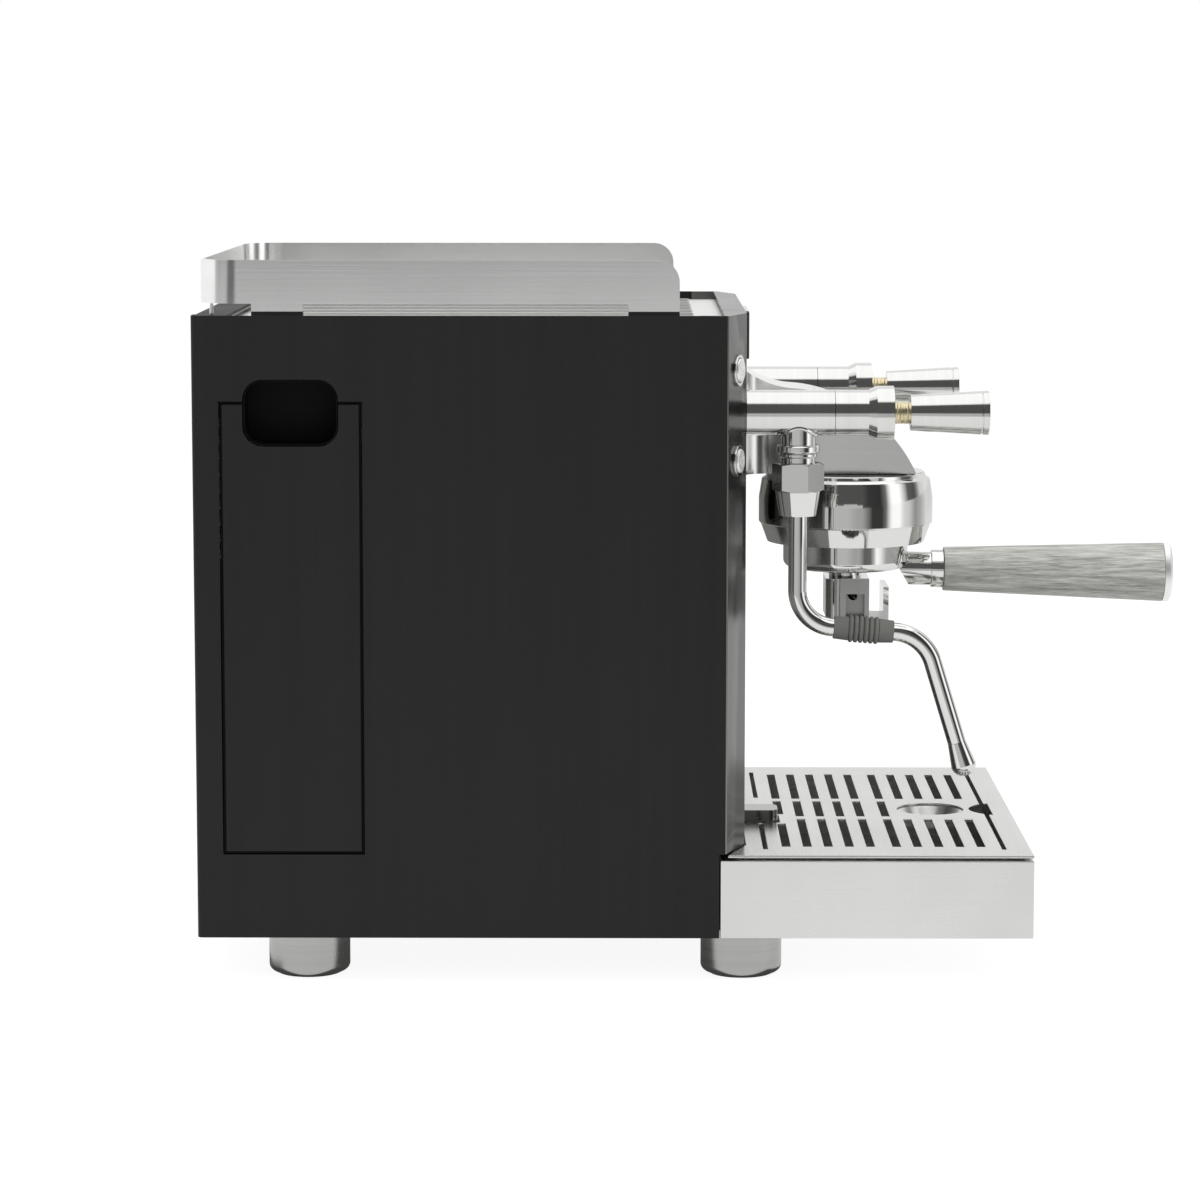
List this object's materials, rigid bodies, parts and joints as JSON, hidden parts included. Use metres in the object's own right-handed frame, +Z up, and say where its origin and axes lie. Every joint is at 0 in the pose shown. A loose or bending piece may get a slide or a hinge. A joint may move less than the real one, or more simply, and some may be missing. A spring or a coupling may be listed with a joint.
{
  "type": "espresso machine",
  "caption": "Pump espresso machine with a black body, a bell-shaped brew group with portafilter, steam and hot-water taps, a pull-out drip tray and tank, and a cup rail.",
  "frame": {"origin": "middle of the overall footprint, on the worktop under the feet", "axes": "+Z up, the front with the brew group faces -Y, +X is the operator's right"},
  "size_m": [0.28, 0.5258, 0.3784],
  "materials": {
    "body_black": "satin powder coat",
    "base_steel": "plain rolled",
    "front_steel": "brushed, dark",
    "shelf_steel": "brushed",
    "tray_steel": "fine brushed",
    "rail_steel": "fine brushed",
    "foot_steel": "turned",
    "polished_steel": "mirror polished",
    "satin_steel": "satin turned",
    "brass": "bright turned",
    "wood": "grey oiled",
    "grip_rubber": "matt",
    "black_rubber": "matt",
    "black_plastic": "fine grain",
    "display_gloss": "gloss black",
    "tank_plastic": "clear smoked",
    "boiler_metal": "as welded",
    "copper": "drawn",
    "zinc": "zinc plated"
  },
  "bodies": {
    "machine": {"base_plate": "base_steel", "boiler_brackets": "base_steel", "boiler_shell": "boiler_metal", "button_housings": "polished_steel", "control_box": "black_plastic", "cup_rail": "rail_steel", "display_plate": "display_gloss", "drain_block": "polished_steel", "feet": "foot_steel", "foot_pads": "black_rubber", "front_panel": "front_steel", "group_bell": "polished_steel", "group_gasket": "black_rubber", "group_hood": "satin_steel", "group_neck": "polished_steel", "heating_element": "boiler_metal", "left_side_panel": "body_black", "mains_inlet": "black_plastic", "panel_screws": "zinc", "pump_mounts": "black_rubber", "rail_pads": "black_plastic", "rear_panel": "body_black", "right_side_panel": "body_black", "safety_valve": "brass", "shower_screen": "polished_steel", "solenoid_valve": "black_plastic", "steam_bonnet": "satin_steel", "steam_pipes": "copper", "steam_valve_body": "satin_steel", "tank_runner": "base_steel", "top_plate": "shelf_steel", "vibration_pump": "black_plastic", "wand_nut": "polished_steel", "water_bonnet": "satin_steel", "water_pipes": "copper", "water_spout": "polished_steel", "water_valve_body": "satin_steel"},
    "tank": {"water_tank": "tank_plastic", "tank_door": "body_black"},
    "power_cap": {"power_button": "polished_steel"},
    "brew_cap": {"brew_button": "polished_steel"},
    "portafilter": {"pf_body": "polished_steel", "filter_basket": "polished_steel", "basket_spring": "polished_steel", "pf_spout": "polished_steel", "pf_ferrule": "polished_steel", "pf_grip": "wood", "pf_end_cap": "satin_steel"},
    "steam_valve_plunger": {"steam_plunger": "brass"},
    "steam_tap": {"steam_spindle": "brass", "steam_knob": "satin_steel"},
    "water_valve_plunger": {"water_plunger": "brass"},
    "water_tap": {"water_spindle": "brass", "water_knob": "satin_steel"},
    "steam_wand": {"wand_tube": "polished_steel", "wand_grip": "grip_rubber", "wand_tip": "polished_steel"},
    "tray": {"drip_tray": "tray_steel"},
    "cover": {"tray_cover": "tray_steel", "drain_cup": "tray_steel"}
  },
  "joints": [
    {"name": "tank_slide", "type": "slide", "parent": "machine", "child": "tank", "axis": [-1, 0, 0], "range_m": [0, 0.2]},
    {"name": "power_press", "type": "slide", "parent": "machine", "child": "power_cap", "axis": [0.3191, 0.9477, 0], "range_m": [0, 0.002], "stiffness_N_per_m": 400, "springref_m": -0.002},
    {"name": "brew_press", "type": "slide", "parent": "machine", "child": "brew_cap", "axis": [0.3191, 0.9477, 0], "range_m": [0, 0.002], "stiffness_N_per_m": 400, "springref_m": -0.002},
    {"name": "portafilter_turn", "type": "hinge", "parent": "machine", "child": "portafilter", "pos_m": [0, -0.0832, 0.228], "axis": [0, 0, -1], "range_deg": [0, 45]},
    {"name": "steam_plunger_slide", "type": "slide", "parent": "machine", "child": "steam_valve_plunger", "axis": [0, -1, 0], "range_m": [0, 0.0015]},
    {"name": "steam_tap_turn", "type": "hinge", "parent": "steam_valve_plunger", "child": "steam_tap", "pos_m": [-0.0965, -0.1022, 0.2969], "axis": [0, -1, 0], "range_deg": [0, 360]},
    {"name": "water_plunger_slide", "type": "slide", "parent": "machine", "child": "water_valve_plunger", "axis": [0, -1, 0], "range_m": [0, 0.0015]},
    {"name": "water_tap_turn", "type": "hinge", "parent": "water_valve_plunger", "child": "water_tap", "pos_m": [0.0965, -0.1022, 0.2969], "axis": [0, -1, 0], "range_deg": [0, 360]},
    {"name": "wand_swivel", "type": "hinge", "parent": "machine", "child": "steam_wand", "pos_m": [-0.0965, -0.0526, 0.258], "axis": [0, 0, 1], "range_deg": [-90, 45]},
    {"name": "tray_slide", "type": "slide", "parent": "machine", "child": "tray", "axis": [0, -1, 0], "range_m": [0, 0.16]},
    {"name": "cover_lift", "type": "slide", "parent": "tray", "child": "cover", "axis": [0, 0, 1], "range_m": [0, 0.03]}
  ],
  "couplings": [
    {"joint": "steam_tap_turn", "follows": "steam_plunger_slide", "rad_per_m": 4188},
    {"joint": "water_tap_turn", "follows": "water_plunger_slide", "rad_per_m": 4188}
  ]
}
